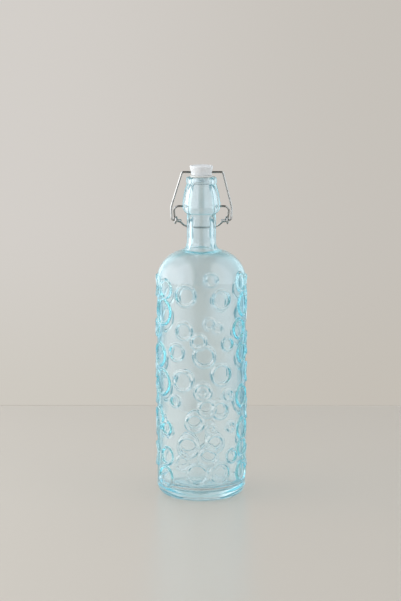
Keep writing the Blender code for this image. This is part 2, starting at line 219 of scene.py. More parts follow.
def dressSurface(tree, shader, finish):
    # handling changes the colour and the roughness a little, over a slightly uneven surface
    marks = useGroup(tree, handlingMarks, {"Scale": finish["marksScale"], "Amount": 1.0})
    mask = marks.outputs["Mask"]
    uneven = useGroup(tree, unevenSurface, finish["uneven"])
    color = mixColors(tree, mask, finish["color"], finish["shade"])
    roughness = spreadMask(tree, mask, finish["roughness"])
    tree.links.new(color, shader.inputs["Base Color"])
    tree.links.new(roughness, shader.inputs["Roughness"])
    tree.links.new(uneven.outputs["Normal"], shader.inputs["Normal"])


# Shape helpers

def smoothStep(share):
    # a share from 0 to 1, eased at both ends
    return share * share * (3 - 2 * share)


def awayFrom(turns, turn):
    # how far each turn is from one of them, by the shorter way round
    return (turns - turn + math.pi) % (2 * math.pi) - math.pi


def quarterArc(start, end, leavesUpright, steps=8):
    # a quarter ellipse from start to end, without start
    points = []
    for i in range(1, steps + 1):
        angle = math.pi / 2 * i / steps
        across, along = 1 - math.cos(angle), math.sin(angle)
        shareR, shareZ = (across, along) if leavesUpright else (along, across)
        points.append((
            start[0] + shareR * (end[0] - start[0]),
            start[1] + shareZ * (end[1] - start[1]),
        ))
    return points


def bowedArc(start, end, bow, steps):
    # an arc that stands out by bow from its chord, without start
    first, last = Vector(start), Vector(end)
    chord = last - first
    along = chord.normalized()
    outward = Vector((-along.y, along.x))
    half = chord.length / 2
    radius = (half * half + bow * bow) / (2 * bow)
    centre = (first + last) / 2 + outward * (bow - radius)
    sweep = math.asin(half / radius)
    points = []
    for i in range(1, steps + 1):
        angle = sweep * (2 * i / steps - 1)
        spot = centre + radius * (outward * math.cos(angle) + along * math.sin(angle))
        points.append((spot.x, spot.y))
    return points


def straightRun(start, end, steps):
    # evenly spaced points on a straight line, without start
    return [
        (
            start[0] + (end[0] - start[0]) * i / steps,
            start[1] + (end[1] - start[1]) * i / steps,
        )
        for i in range(1, steps + 1)
    ]


def easedRun(start, end, steps):
    # from start to end upwards, upright at both ends, without start
    points = []
    for i in range(1, steps + 1):
        share = (1 - math.cos(math.pi * i / steps)) / 2
        radius = start[0] + (end[0] - start[0]) * share
        points.append((radius, start[1] + (end[1] - start[1]) * i / steps))
    return points


def newMesh(name, points, faces):
    mesh = bpy.data.meshes.new(name)
    mesh.from_pydata(points, [], faces)
    mesh.update()
    return mesh


def appliedMesh(shape):
    # the mesh that a curve or an object with modifiers comes to, which uses the object up
    bpy.context.view_layer.update()
    evaluated = shape.evaluated_get(bpy.context.evaluated_depsgraph_get())
    mesh = bpy.data.meshes.new_from_object(evaluated)
    bpy.data.objects.remove(shape)
    return mesh


def addPiece(name, mesh, material, body, node):
    mesh.materials.append(material)
    mesh.shade_smooth()
    piece = bpy.data.objects.new(name, mesh)
    bpy.context.scene.collection.objects.link(piece)
    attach(piece, body)
    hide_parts(node)
    return piece


def allRound(columns):
    return np.linspace(0, 2 * math.pi, columns, endpoint=False)[None, :]


def spin(profile, turns):
    # the radii and the heights of a profile at every turn
    radii, heights = np.array(profile).T
    return radii[:, None] + 0 * turns, heights[:, None] + 0 * turns


def turnedPoints(radii, heights, turns):
    points = np.stack([radii * np.sin(turns), -radii * np.cos(turns), heights], axis=-1)
    return points.reshape(-1, 3)


def gridMesh(name, radii, heights, turns):
    # a closed turned skin, whose first and last rows are single points on the axis
    rows, columns = radii.shape
    poles = [(0.0, 0.0, heights[0].mean()), (0.0, 0.0, heights[-1].mean())]
    points = np.vstack([turnedPoints(radii, heights, turns)[columns:-columns], poles])
    inner = rows - 2
    index = np.arange(inner * columns).reshape(inner, columns)
    after = np.roll(index, -1, axis=1)
    quads = np.stack([index[:-1], index[1:], after[1:], after[:-1]], axis=-1).reshape(-1, 4)
    firstPole, lastPole = inner * columns, inner * columns + 1
    firstFan = [(firstPole, a, b) for a, b in zip(index[0], after[0])]
    lastFan = [(a, lastPole, b) for a, b in zip(index[-1], after[-1])]
    return newMesh(name, points.tolist(), quads.tolist() + firstFan + lastFan)


def turnedMesh(name, profile, columns):
    turns = allRound(columns)
    radii, heights = spin(profile, turns)
    return gridMesh(name, radii, heights, turns)


def closedRingMesh(name, profile, columns):
    # a turned ring whose profile closes on itself
    turns = allRound(columns)
    radii, heights = spin(profile, turns)
    index = np.arange(radii.size).reshape(radii.shape)
    below, after = np.roll(index, -1, axis=0), np.roll(index, -1, axis=1)
    belowAfter = np.roll(below, -1, axis=1)
    quads = np.stack([index, below, belowAfter, after], axis=-1).reshape(-1, 4)
    return newMesh(name, turnedPoints(radii, heights, turns).tolist(), quads.tolist())


# Glass

glass = {
    "height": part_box("bottle_glass")[1].z,
    "boreRadius": 0.0095,
    "mouthRound": 0.0020,
    "lipRadius": 0.0143,
    "lipRound": 0.0018,
    "lipHeight": 0.0062,
    "lipGroove": (0.0005, 0.0020),      # depth and height
    "bulgeHeight": 0.0300,
    "bulgeTopRadius": 0.0143,
    "bulgeRadius": 0.0178,
    "flankBow": 0.0008,
    "chinBow": 0.0010,
    "chinShare": 0.12,
    "chinFillet": 0.0020,
    "bulgeWall": 0.0056,
    "bulgeLead": 0.0060,                # how far below the bulge its inside starts to widen
    "neckRadius": 0.0137,
    "neckHeight": 0.0319,
    "neckFlare": (0.0050, 0.0080),      # reach and height, outside
    "boreFlareHeight": 0.0140,
    "shoulder": (0.0305, 0.0290),       # reach and height
    "bodyRadius": 0.0423,
    "wall": 0.0032,
    "wallSink": 0.0003,                 # how much lower the wall lies between the rings
    "heel": (0.0082, 0.0112),           # reach and height
    "restWidth": 0.0035,
    "pushUp": 0.0042,
    "baseThickness": 0.0062,
    "floorCrown": 0.0028,
    "floorRingShare": 0.82,
    "dimpleDepth": 0.0029,
    "dimpleRadius": 0.00125,
    "dimpleEdge": 0.0004,
    "waveDepth": 0.00016,               # how far the inner wall wanders
    # each wave's lobes round the axis, its twist per metre of height, its phase and its share
    "waves": [(2, 38, 0.0, 1.0), (3, -61, 1.3, 1.0), (5, 97, 2.1, 0.6)],
    "trueRows": (20, 60),               # rows at the floor and at the mouth that don't wander
    "easeRows": 14,
    "columns": 600,
    "wallRow": 0.00044,
    "insideRows": {
        "floor": 20, "heel": 16, "wall": 90, "shoulder": 28, "flare": 14, "bore": 8,
        "bellyFoot": 14, "bellyTop": 24, "mouth": 4,
    },
    "bulgeRows": {"lip": 4, "groove": 8, "flank": 60, "chin": 26},
    "neckRows": {"neck": 12, "flare": 14},
    "heelRows": 20,
}

# Raised rings. A row is a ring's place round the bottle from the front, as a share of a turn
# towards +X, its height as a share of the band, and its radius as a share of the largest.
rings = {
    "largest": 0.0115,
    "innerWidth": 0.0014,               # the ridge is steeper towards the ring's middle
    "outerWidth": 0.0022,
    "rise": 0.0016,
    "lowRise": 0.55,                    # the share of it that small rings and small twins have
    "twinShare": 0.69,                  # twins of this size and up have the whole rise
    "bandFoot": 0.0170,                 # the middle of the lowest rings
    "bandDrop": 0.0205,                 # that of the highest, below the shoulder's top
    "fade": 0.0030,
    "front": [
        (-0.06, 0.91, 0.83), (0.035, 0.985, 0.50), (0.075, 0.89, 0.74), (0.175, 0.96, 0.70),
        (0.19, 0.85, 0.83), (0.16, 0.74, 0.74), (-0.15, 0.93, 0.70), (-0.165, 0.82, 1.0),
        (-0.23, 0.73, 0.66), (-0.065, 0.74, 0.66), (-0.01, 0.69, 0.57), (0.01, 0.62, 0.83),
        (0.10, 0.675, 0.50), (-0.095, 0.635, 0.66), (0.18, 0.62, 0.70), (-0.19, 0.61, 0.90),
        (-0.07, 0.50, 0.78), (0.075, 0.53, 0.83), (0.005, 0.45, 0.66), (-0.17, 0.48, 1.0),
        (0.18, 0.41, 0.83), (-0.025, 0.30, 0.70), (0.07, 0.36, 0.66), (0.02, 0.37, 0.66),
        (-0.142, 0.26, 0.50), (0.05, 0.20, 0.69), (-0.05, 0.18, 0.83), (0.025, 0.13, 0.74),
        (-0.015, 0.05, 0.83), (0.07, 0.055, 0.81), (0.12, 0.13, 0.50), (-0.14, 0.125, 0.66),
        (-0.15, 0.02, 0.83), (0.18, 0.04, 0.78), (0.185, 0.25, 0.83), (0.18, 0.16, 0.66),
        (-0.20, 0.30, 0.83), (-0.10, 0.40, 0.42),
    ],
    "side": [
        (0.25, 0.93, 0.83), (0.26, 0.65, 0.90), (0.25, 0.51, 0.74), (0.26, 0.33, 0.83),
        (0.245, 0.10, 0.83), (-0.25, 0.93, 0.83), (-0.26, 0.52, 0.66), (-0.25, 0.41, 0.83),
        (-0.245, 0.11, 0.90),
    ],
    "small": [
        (0.03, 0.775, 0.45), (0.06, 0.755, 0.41), (0.105, 0.43, 0.41), (0.035, 0.27, 0.37),
        (0.115, 0.275, 0.37), (-0.07, 0.10, 0.57), (0.005, 0.45, 0.33), (0.07, 0.055, 0.55),
    ],
    "backDrop": 0.0145,                 # how much lower a twin stands
    "frontShare": 0.22,                 # rings nearer to the front than this have one
}

bulgeTop = glass["height"] - glass["lipHeight"]
bulgeFoot = bulgeTop - glass["bulgeHeight"]
shoulderTop = bulgeFoot - glass["neckHeight"]
wallTop = shoulderTop - glass["shoulder"][1]


def shoulderSpot(lean, out):
    # a point of the shoulder's ellipse, from its foot (lean 0) up, out being outside the wall
    reach, rise = glass["shoulder"]
    centre = glass["bodyRadius"] - reach
    return centre + (reach + out) * math.cos(lean), wallTop + (rise + out) * math.sin(lean)


def shoulderLean(radius, out):
    reach = glass["shoulder"][0]
    return math.acos((radius - glass["bodyRadius"] + reach) / (reach + out))


def insideProfile():
    rows = glass["insideRows"]
    bore = glass["boreRadius"]
    wallRadius = glass["bodyRadius"] - glass["wall"]
    floorZ = glass["pushUp"] + glass["baseThickness"]
    ringZ = floorZ - glass["floorCrown"]
    restRadius = glass["bodyRadius"] - glass["heel"][0]
    ringRadius = glass["floorRingShare"] * (restRadius - glass["restWidth"])
    heelTop = (wallRadius, ringZ + glass["heel"][1])
    points = [(0.0, floorZ)]
    points += quarterArc(points[-1], (ringRadius, ringZ), False, rows["floor"])
    points += quarterArc(points[-1], heelTop, False, rows["heel"])
    points += straightRun(points[-1], (wallRadius, wallTop), rows["wall"])
    lean = shoulderLean(bore + glass["neckFlare"][0], -glass["wall"])
    for i in range(1, rows["shoulder"] + 1):
        points.append(shoulderSpot(lean * i / rows["shoulder"], -glass["wall"]))
    boreFoot = points[-1][1] + glass["boreFlareHeight"]
    points += quarterArc(points[-1], (bore, boreFoot), False, rows["flare"])
    points += straightRun(points[-1], (bore, bulgeFoot - glass["bulgeLead"]), rows["bore"])
    belly = glass["bulgeRadius"] - glass["bulgeWall"]
    points += easedRun(points[-1], (belly, pivot.z), rows["bellyFoot"])
    points += easedRun(points[-1], (bore, bulgeTop), rows["bellyTop"])
    points += straightRun(points[-1], (bore, glass["height"] - glass["mouthRound"]), rows["mouth"])
    points += quarterArc(points[-1], (bore + glass["mouthRound"], glass["height"]), True)
    return points


def bulgeProfile():
    rows = glass["bulgeRows"]
    grooveDepth, grooveHeight = glass["lipGroove"]
    lip, top, widest = glass["lipRadius"], glass["bulgeTopRadius"], glass["bulgeRadius"]
    chinRadius = glass["neckRadius"] + glass["chinShare"] * (widest - glass["neckRadius"])
    chin = (chinRadius, bulgeFoot + glass["chinFillet"])
    points = [(lip - glass["lipRound"], glass["height"])]
    points += quarterArc(points[-1], (lip, glass["height"] - glass["lipRound"]), False)
    points += straightRun(points[-1], (lip, bulgeTop + grooveHeight / 2), rows["lip"])
    for i in range(1, rows["groove"]):      # a soft round groove under the lip
        share = i / rows["groove"]
        dip = grooveDepth * math.sin(math.pi * share) ** 2
        height = bulgeTop + grooveHeight * (0.5 - share)
        points.append((lip + (top - lip) * share - dip, height))
    points.append((top, bulgeTop - grooveHeight / 2))
    points += bowedArc(points[-1], (widest, pivot.z), glass["flankBow"], rows["flank"])
    points += bowedArc(points[-1], chin, glass["chinBow"], rows["chin"])
    points += quarterArc(points[-1], (glass["neckRadius"], bulgeFoot), False)
    return points


def neckProfile():
    rows = glass["neckRows"]
    reach, rise = glass["neckFlare"]
    neck = glass["neckRadius"]
    flareRadius = neck + reach
    flareZ = shoulderSpot(shoulderLean(flareRadius, 0.0), 0.0)[1]
    points = straightRun((neck, bulgeFoot), (neck, flareZ + rise), rows["neck"])
    points += quarterArc(points[-1], (flareRadius, flareZ), True, rows["flare"])
    return points


def heelProfile():
    rows = glass["heelRows"]
    reach, rise = glass["heel"]
    restRadius = glass["bodyRadius"] - reach
    points = quarterArc((glass["bodyRadius"], rise), (restRadius, 0.0), True, rows)
    points.append((restRadius - glass["restWidth"] / 2, 0.0))
    points.append((restRadius - glass["restWidth"], 0.0))
    points += quarterArc(points[-1], (0.0, glass["pushUp"]), True, rows)
    return points


def ringRows():
    # a turn, a height, a radius and a share of the rise for every ring, with twins behind the
    # front ones where the wall has room below; the small ones that the solid leaves out are lower
    foot, drop, low = rings["bandFoot"], rings["backDrop"], rings["lowRise"]
    band = shoulderTop - rings["bandDrop"] - foot
    rows = []
    for group in ("front", "side", "small"):
        for turnShare, heightShare, sizeShare in rings[group]:
            turn, along = 2 * math.pi * turnShare, foot + heightShare * band
            radius = sizeShare * rings["largest"]
            rows.append((turn, along, radius, low if group == "small" else 1.0))
            if abs(turnShare) < rings["frontShare"] and along - drop > foot:
                share = low if sizeShare < rings["twinShare"] else 1.0
                rows.append((math.pi - turn, along - drop, radius, share))
    return rows


def ringRelief(turns, alongs):
    # how far the outer wall stands out, from 0 to rise, at each turn and length up the wall
    clear = np.ones(np.broadcast(turns, alongs).shape)
    for turn, along, radius, share in ringRows():
        across = awayFrom(turns, turn) * glass["bodyRadius"]
        beyond = np.hypot(across, alongs - along) - radius
        inner = np.clip(-beyond / rings["innerWidth"], 0, 1)
        outer = np.clip(beyond / rings["outerWidth"], 0, 1)
        bead = np.where(beyond < 0, 1 - inner ** 2, np.cos(math.pi / 2 * outer) ** 2)
        clear *= 1 - share * bead
    aboveHeel = np.clip((alongs - glass["heel"][1]) / rings["fade"], 0, 1)
    return rings["rise"] * (1 - clear) * smoothStep(aboveHeel)


def outerWall(topLean, turns):
    # the radii and the heights of the wall's rows, from the neck's flare down to the heel
    reach, rise = glass["shoulder"]
    heelTop = glass["heel"][1]
    leanSteps = round(topLean * rise / glass["wallRow"])
    leans = topLean * (1 - np.arange(1, leanSteps + 1) / leanSteps)
    wallSteps = round((wallTop - heelTop) / glass["wallRow"])
    drops = (wallTop - heelTop) * np.arange(1, wallSteps + 1) / wallSteps
    alongs = np.concatenate([wallTop + leans * rise, wallTop - drops])[:, None]
    lean = np.maximum(alongs - wallTop, 0) / rise
    sink = glass["wallSink"] * np.clip((alongs - heelTop) / rings["fade"], 0, 1)
    out = ringRelief(turns, alongs) - sink
    radii = glass["bodyRadius"] - reach + (reach + out) * np.cos(lean)
    heights = np.minimum(alongs, wallTop) + (rise + out) * np.sin(lean)
    return radii, heights


def innerWander(heights, turns):
    # how far the inner wall wanders, as blown glass does
    wander = sum(
        share * np.sin(lobes * turns + twist * heights + phase)
        for lobes, twist, phase, share in glass["waves"]
    )
    row, ease = np.arange(len(heights)), glass["easeRows"]
    fromFloor = np.clip(row / ease, 0, 1)
    fromTop = np.clip((len(heights) - row) / ease, 0, 1)
    return glass["waveDepth"] * wander * (fromFloor * fromTop)[:, None]


def dimpleSink(radii, heights, turns, side):
    # how far the bulge sinks in where a tip of the lever turns
    off = np.hypot(awayFrom(turns, side * math.pi / 2) * radii, heights - pivot.z)
    share = np.clip((off - glass["dimpleRadius"]) / glass["dimpleEdge"], 0, 1)
    return glass["dimpleDepth"] * (1 - smoothStep(share))


def makeGlassMesh():
    turns = allRound(glass["columns"])
    inside, bulge, neck = insideProfile(), bulgeProfile(), neckProfile()
    aboveRadii, aboveHeights = spin(inside + bulge + neck, turns)
    wallRadii, wallHeights = outerWall(shoulderLean(neck[-1][0], 0.0), turns)
    heelRadii, heelHeights = spin(heelProfile(), turns)
    radii = np.vstack([aboveRadii, wallRadii, heelRadii])
    heights = np.vstack([aboveHeights, wallHeights, heelHeights])
    atFloor, atTop = glass["trueRows"]
    wavy = slice(atFloor, len(inside) - atTop)
    radii[wavy] += innerWander(heights[wavy], turns)
    onBulge = slice(len(inside), len(inside) + len(bulge))
    for side in (-1, 1):
        radii[onBulge] -= dimpleSink(radii[onBulge], heights[onBulge], turns, side)
    return gridMesh("bottleGlass", radii, heights, turns)


def aquaGlass():
    finish = {
        "tint": (0.90, 0.96, 0.97, 1.0),
        "thickTint": (0.86, 0.925, 0.94, 1.0),      # from the shoulder up the wall is thicker
        "slantTint": (0.50, 0.80, 0.87, 1.0),       # seen at a slant, through more glass
        "slant": (0.38, 0.85),
        "steepPaintedShade": (0.0, 0.25, 0.38, 1.0),        # painted shade: dark teal on the rings' flanks and the outline
        "steep": (0.62, 0.88),
        "depthColor": (0.08, 0.78, 0.90, 1.0),      # what is left of light inside the wall
        "depthDensity": 2.0,
        "shadowTint": (0.975, 0.99, 1.0, 1.0),
        "caughtAfter": 2.5,                         # bounces inside the wall
        "caughtTint": (0.22, 0.78, 0.88, 1.0),
        "thickFoot": (0.018, 0.011),                # the thick foot is painted paler than the edges: painted light
        "footPaintedLight": (0.85, 0.97, 1.0, 1.0),
        # painted light: the neck and the shoulder take this paler tint in place of the slant,
        # steep and caught ones
        "neckPaintedLight": (0.62, 0.88, 0.92, 1.0),
        "shoulderRise": (0.185, 0.205),             # heights where the shoulder begins
        "neckRise": (0.242, 0.232),                 # and where it ends, from the neck down
        "ior": 1.5,
        "transmission": 0.965,
        "marks": {"Scale": 45.0, "Amount": 0.02},
        "uneven": {
            "Wave Scale": 70.0, "Grain Scale": 500.0, "Grain Share": 0.02,
            "Strength": 0.5, "Depth": 0.0004,
        },
    }
    material, tree, shader = newMaterial("aquaGlass")
    facing = addNode(tree, "ShaderNodeLayerWeight").outputs["Facing"]
    slant = smoothMask(tree, facing, *finish["slant"])
    steep = smoothMask(tree, facing, *finish["steep"])
    place = addNode(tree, "ShaderNodeTexCoord")
    axes = addNode(tree, "ShaderNodeSeparateXYZ")
    tree.links.new(place.outputs["Object"], axes.inputs["Vector"])
    z = axes.outputs["Z"]
    atFoot = smoothMask(tree, z, *finish["thickFoot"])
    high = smoothMask(tree, z, *finish["shoulderRise"])
    onShoulder = joinMath(tree, "MULTIPLY", high, smoothMask(tree, z, *finish["neckRise"]))
    slantTint = mixColors(tree, high, finish["slantTint"], finish["neckPaintedLight"])
    slantTint = mixColors(tree, atFoot, slantTint, finish["footPaintedLight"])
    # painted shade on the steep flanks and the outline, which gives way to the paler painted tints
    # at the foot and on the shoulder
    steepPaintedShade = mixColors(tree, atFoot, finish["steepPaintedShade"], finish["footPaintedLight"])
    steepPaintedShade = mixColors(tree, onShoulder, steepPaintedShade, finish["neckPaintedLight"])
    tint = mixColors(tree, high, finish["tint"], finish["thickTint"])
    tint = mixColors(tree, slant, tint, slantTint)
    tint = mixColors(tree, steep, tint, steepPaintedShade)
    tree.links.new(tint, shader.inputs["Base Color"])
    shader.inputs["IOR"].default_value = finish["ior"]
    shader.inputs["Transmission Weight"].default_value = finish["transmission"]
    shader.inputs["Metallic"].default_value = 0.0
    marks = useGroup(tree, handlingMarks, finish["marks"])
    tree.links.new(marks.outputs["Mask"], shader.inputs["Roughness"])
    uneven = useGroup(tree, unevenSurface, finish["uneven"])
    tree.links.new(uneven.outputs["Normal"], shader.inputs["Normal"])
    # lamps shine through to the table with a soft tint, and light that the wall has caught for
    # long comes out with a deeper one
    light = addNode(tree, "ShaderNodeLightPath")
    toLamp = light.outputs["Is Shadow Ray"]
    caught = joinMath(tree, "GREATER_THAN", light.outputs["Glossy Depth"], finish["caughtAfter"])
    caughtTint = mixColors(tree, high, finish["caughtTint"], finish["neckPaintedLight"])
    caughtTint = mixColors(tree, atFoot, caughtTint, finish["footPaintedLight"])
    clear = addNode(tree, "ShaderNodeBsdfTransparent")
    clearTint = mixColors(tree, toLamp, caughtTint, finish["shadowTint"])
    tree.links.new(clearTint, clear.inputs["Color"])
    passing = joinMath(tree, "MAXIMUM", toLamp, caught)
    surface = chooseShader(tree, passing, shader.outputs["BSDF"], clear.outputs["BSDF"])
    depth = addNode(tree, "ShaderNodeVolumeAbsorption")
    depth.inputs["Color"].default_value = finish["depthColor"]
    depth.inputs["Density"].default_value = finish["depthDensity"]
    output = tree.nodes["Material Output"]
    tree.links.new(surface, output.inputs["Surface"])
    tree.links.new(depth.outputs["Volume"], output.inputs["Volume"])
    return material


addPiece("bottleGlass", makeGlassMesh(), aquaGlass(), "bottle", "bottle_glass")
print("Glass blown with", len(ringRows()), "rings")


# Stopper and gasket

stopper = {
    "topRadius": 0.0109,
    "footRadius": 0.0094,
    "headHeight": 0.0088,
    "edgeRound": 0.0009,
    "topDish": 0.0003,
    "footRound": 0.0003,
    "stemRadius": 0.0066,
    "noseRadius": 0.0078,
    "noseDepth": 0.0044,
    "noseHeight": 0.0021,
    "noseEdges": (0.7, 0.4),            # heights of its widest part, as shares of the nose's
    "seatGap": 0.0003,
    "columns": 128,
    "rows": {"dish": 6, "rim": 5, "top": 2, "side": 24, "foot": 5, "stem": 4},
    "holeSides": 48,
    "sharpAngle": 40,
}

gasket = {
    "radius": 0.0106,
    "height": 0.0030,
    "round": 0.0005,
    "columns": 128,
    "rows": {"edge": 6, "seat": 10},
    "sharpAngle": 50,
}

# Both wires are drawn alike, and the stopper is drilled for one of them
wire = {
    "diameter": 0.0019,
    "clearance": 0.0004,
    "bendSteps": 12,
    "bevelSteps": 6,
    "endDress": 0.125,                  # how much of a diameter draws in at a cut end
    "endTaper": 0.72,
    "surface": {
        "marksScale": 260.0,
        "uneven": {
            "Wave Scale": 260.0, "Grain Scale": 4200.0, "Grain Share": 0.3,
            "Strength": 0.06, "Depth": 0.0001,
        },
    },
}


def makeStopperMesh():
    rows = stopper["rows"]
    topRadius, footRadius = stopper["topRadius"], stopper["footRadius"]
    stemRadius, noseRadius = stopper["stemRadius"], stopper["noseRadius"]
    edge, dish, footRound = stopper["edgeRound"], stopper["topDish"], stopper["footRound"]
    footZ = glass["height"] + gasket["height"] / 2 + stopper["seatGap"]
    topZ = footZ + stopper["headHeight"]
    noseZ, noseHeight = glass["height"] - stopper["noseDepth"], stopper["noseHeight"]
    widestTop, widestFoot = (noseZ + noseHeight * share for share in stopper["noseEdges"])
    dishRadius = topRadius - 2 * edge
    points = [(0.0, topZ - dish)]
    points += straightRun(points[-1], (dishRadius - edge, topZ - dish), rows["dish"])
    points += bowedArc(points[-1], (dishRadius, topZ), -dish / 4, rows["rim"])
    points += straightRun(points[-1], (topRadius - edge, topZ), rows["top"])
    points += quarterArc(points[-1], (topRadius, topZ - edge), False)
    points += straightRun(points[-1], (footRadius, footZ + footRound), rows["side"])
    points += quarterArc(points[-1], (footRadius - footRound, footZ), True, rows["foot"])
    points.append((stemRadius + footRound, footZ))
    points += quarterArc(points[-1], (stemRadius, footZ - footRound), False, rows["foot"])
    points += straightRun(points[-1], (stemRadius, noseZ + noseHeight), rows["stem"])
    points += quarterArc(points[-1], (noseRadius, widestTop), False)
    points.append((noseRadius, widestFoot))
    points += quarterArc(points[-1], (stemRadius, noseZ), True)
    points.append((0.0, noseZ))
    return turnedMesh("stopper", points, stopper["columns"])


def drillForBar(mesh):
    # the hole that the bail's bar turns in, cut right through the head
    blank = bpy.data.objects.new("stopperBlank", mesh)
    bpy.context.scene.collection.objects.link(blank)
    bpy.ops.mesh.primitive_cylinder_add(
        vertices=stopper["holeSides"],
        radius=wire["diameter"] / 2 + stopper["seatGap"],
        depth=3 * stopper["topRadius"],
        location=bar,
        rotation=(0.0, math.pi / 2, 0.0),
    )
    drill = bpy.context.object
    cut = blank.modifiers.new("Drill", "BOOLEAN")
    cut.operation = "DIFFERENCE"
    cut.solver = "EXACT"
    cut.object = drill
    drilled = appliedMesh(blank)
    bpy.data.objects.remove(drill)
    return drilled


def whitePlastic():
    finish = {
        "color": (0.765, 0.80, 0.83, 1.0),
        "shade": (0.75, 0.765, 0.78, 1.0),
        "marksScale": 220.0,
        "roughness": (0.34, 0.50),
        "glow": 0.15,                   # how much of the light goes a little way in
        "glowReach": 0.002,
        "uneven": {
            "Wave Scale": 150.0, "Grain Scale": 2500.0, "Grain Share": 0.3,
            "Strength": 0.25, "Depth": 0.0001,
        },
    }
    material, tree, shader = newMaterial("whitePlastic")
    shader.inputs["Subsurface Weight"].default_value = finish["glow"]
    shader.inputs["Subsurface Radius"].default_value = (finish["glowReach"],) * 3
    dressSurface(tree, shader, finish)
    return material


stopperPiece = addPiece(
    "stopperHead", drillForBar(makeStopperMesh()), whitePlastic(),
    "closure", "stopper",
)
stopperPiece.data.set_sharp_from_angle(angle=math.radians(stopper["sharpAngle"]))
print("Stopper moulded")


def gasketProfile():
    rows = gasket["rows"]
    topZ = glass["height"] + gasket["height"] / 2
    footZ = topZ - gasket["height"]
    hole = stopper["stemRadius"] + stopper["seatGap"]
    edge, radius = gasket["round"], gasket["radius"]
    seat = glass["boreRadius"] - 2 * stopper["seatGap"]
    points = [(hole, topZ), (radius - edge, topZ)]
    points += quarterArc(points[-1], (radius, topZ - edge), False, rows["edge"])
    points.append((radius, glass["height"] + stopper["seatGap"] + edge / 2))
    points += bowedArc(points[-1], (seat, footZ), edge / 3, rows["seat"])
    points.append((hole, footZ))
    return points


def paleRubber():
    finish = {
        "color": (0.78, 0.79, 0.765, 1.0),
        "shade": (0.70, 0.71, 0.69, 1.0),
        "marksScale": 300.0,
        "roughness": (0.5, 0.72),
        "uneven": {
            "Wave Scale": 260.0, "Grain Scale": 3200.0, "Grain Share": 0.6,
            "Strength": 0.4, "Depth": 0.0001,
        },
    }
    material, tree, shader = newMaterial("paleRubber")
    dressSurface(tree, shader, finish)
    return material


gasketPiece = addPiece(
    "gasketRing", closedRingMesh("gasketRing", gasketProfile(), gasket["columns"]), paleRubber(),
    "closure", "gasket",
)
gasketPiece.data.set_sharp_from_angle(angle=math.radians(gasket["sharpAngle"]))
print("Gasket cut")


# Wires

def bentPath(corners, bends):
    # points along a wire: straight runs between corners, with each inner corner an arc
    points = [Vector(corners[0])]
    for before, corner, after, bend in zip(corners, corners[1:], corners[2:], bends):
        corner = Vector(corner)
        come, leave = corner - Vector(before), Vector(after) - corner
        turn = come.angle(leave)
        reach = min(bend * math.tan(turn / 2), come.length / 2, leave.length / 2)
        radius = reach / math.tan(turn / 2)
        inward = (leave.normalized() - come.normalized()).normalized()
        centre = corner + inward * (radius / math.cos(turn / 2))
        first = (corner - come.normalized() * reach - centre).normalized()
        last = (corner + leave.normalized() * reach - centre).normalized()
        for i in range(wire["bendSteps"] + 1):
            points.append(centre + first.slerp(last, i / wire["bendSteps"]) * radius)
    points.append(Vector(corners[-1]))
    return points


def wireMesh(name, points):
    # a round wire along the points, with its cut ends drawn in a little
    dress = wire["diameter"] * wire["endDress"]
    first = points[0] + (points[1] - points[0]).normalized() * dress
    last = points[-1] + (points[-2] - points[-1]).normalized() * dress
    path = [points[0], first] + points[1:-1] + [last, points[-1]]
    curve = bpy.data.curves.new(name, "CURVE")
    curve.dimensions = "3D"
    curve.bevel_depth = wire["diameter"] / 2
    curve.bevel_resolution = wire["bevelSteps"]
    curve.use_fill_caps = True
    spline = curve.splines.new("POLY")
    spline.points.add(len(path) - 1)
    for point, spot in zip(spline.points, path):
        point.co = (*spot, 1.0)
    spline.points[0].radius = wire["endTaper"]
    spline.points[-1].radius = wire["endTaper"]
    shape = bpy.data.objects.new(name, curve)
    bpy.context.scene.collection.objects.link(shape)
    return appliedMesh(shape)


def drawnSteel(name, finish):
    material, tree, shader = newMaterial(name)
    shader.inputs["Metallic"].default_value = 1.0
    dressSurface(tree, shader, {**wire["surface"], **finish})
    return material


lever = {
    "reach": 0.0084,
    "bend": 0.0044,
    "eyeRadius": 0.0028,
    "eyeInset": 0.0010,
    "eyeTailShare": 0.45,
    "eyeSteps": 48,
    "handleStandoff": 0.0036,
    "handleDrop": 0.0220,
    "handleBend": 0.0050,
    # corners of the handle: across, back and down, as shares of the eye's place across, the
    # handle's place behind the neck and its drop from the eye
    "handlePath": [
        (0.88, 0.26, 0.22), (0.72, 0.54, 0.67), (0.54, 0.85, 0.93),
        (0.25, 1.0, 1.0), (0.0, 1.0, 1.0),
    ],
    "finish": {
        "color": (0.38, 0.37, 0.35, 1.0),
        "shade": (0.28, 0.27, 0.26, 1.0),
        "roughness": (0.20, 0.36),
    },
}

leverWidest = glass["bulgeRadius"] + lever["reach"]
eyeOuter = leverWidest - lever["eyeInset"]
eyePitch = wire["diameter"] + wire["clearance"]
eyeInner = eyeOuter - eyePitch

bail = {
    "cornerLeft": 0.0182,
    "cornerRight": 0.0202,
    "heelGap": 0.0009,
    "endLength": 0.0094,
    "sideDrop": 0.0010,                     # how far below the pivot a leg is widest
    "spread": 0.0006,
    "bends": [0.0026, 0.0160, 0.0018],      # heel, side and corner
    "finish": {
        "color": (0.40, 0.39, 0.37, 1.0),
        "shade": (0.30, 0.29, 0.28, 1.0),
        "roughness": (0.18, 0.34),
    },
}


def bailSide(side, cornerX):
    heelX = eyeOuter + wire["diameter"] + bail["heelGap"]
    sideZ = pivot.z - bail["sideDrop"]
    leanShare = (sideZ - eye.z) / (bar.z - eye.z)
    return [
        (side * (heelX - bail["endLength"]), eye.y, eye.z),
        (side * heelX, eye.y, eye.z),
        (side * (heelX + bail["spread"]), eye.y * (1 - leanShare), sideZ),
        (side * cornerX, 0.0, bar.z),
    ]


def makeBailPath():
    left = bailSide(-1, bail["cornerLeft"])
    right = bailSide(1, bail["cornerRight"])
    return bentPath(left + right[::-1], bail["bends"] + bail["bends"][::-1])


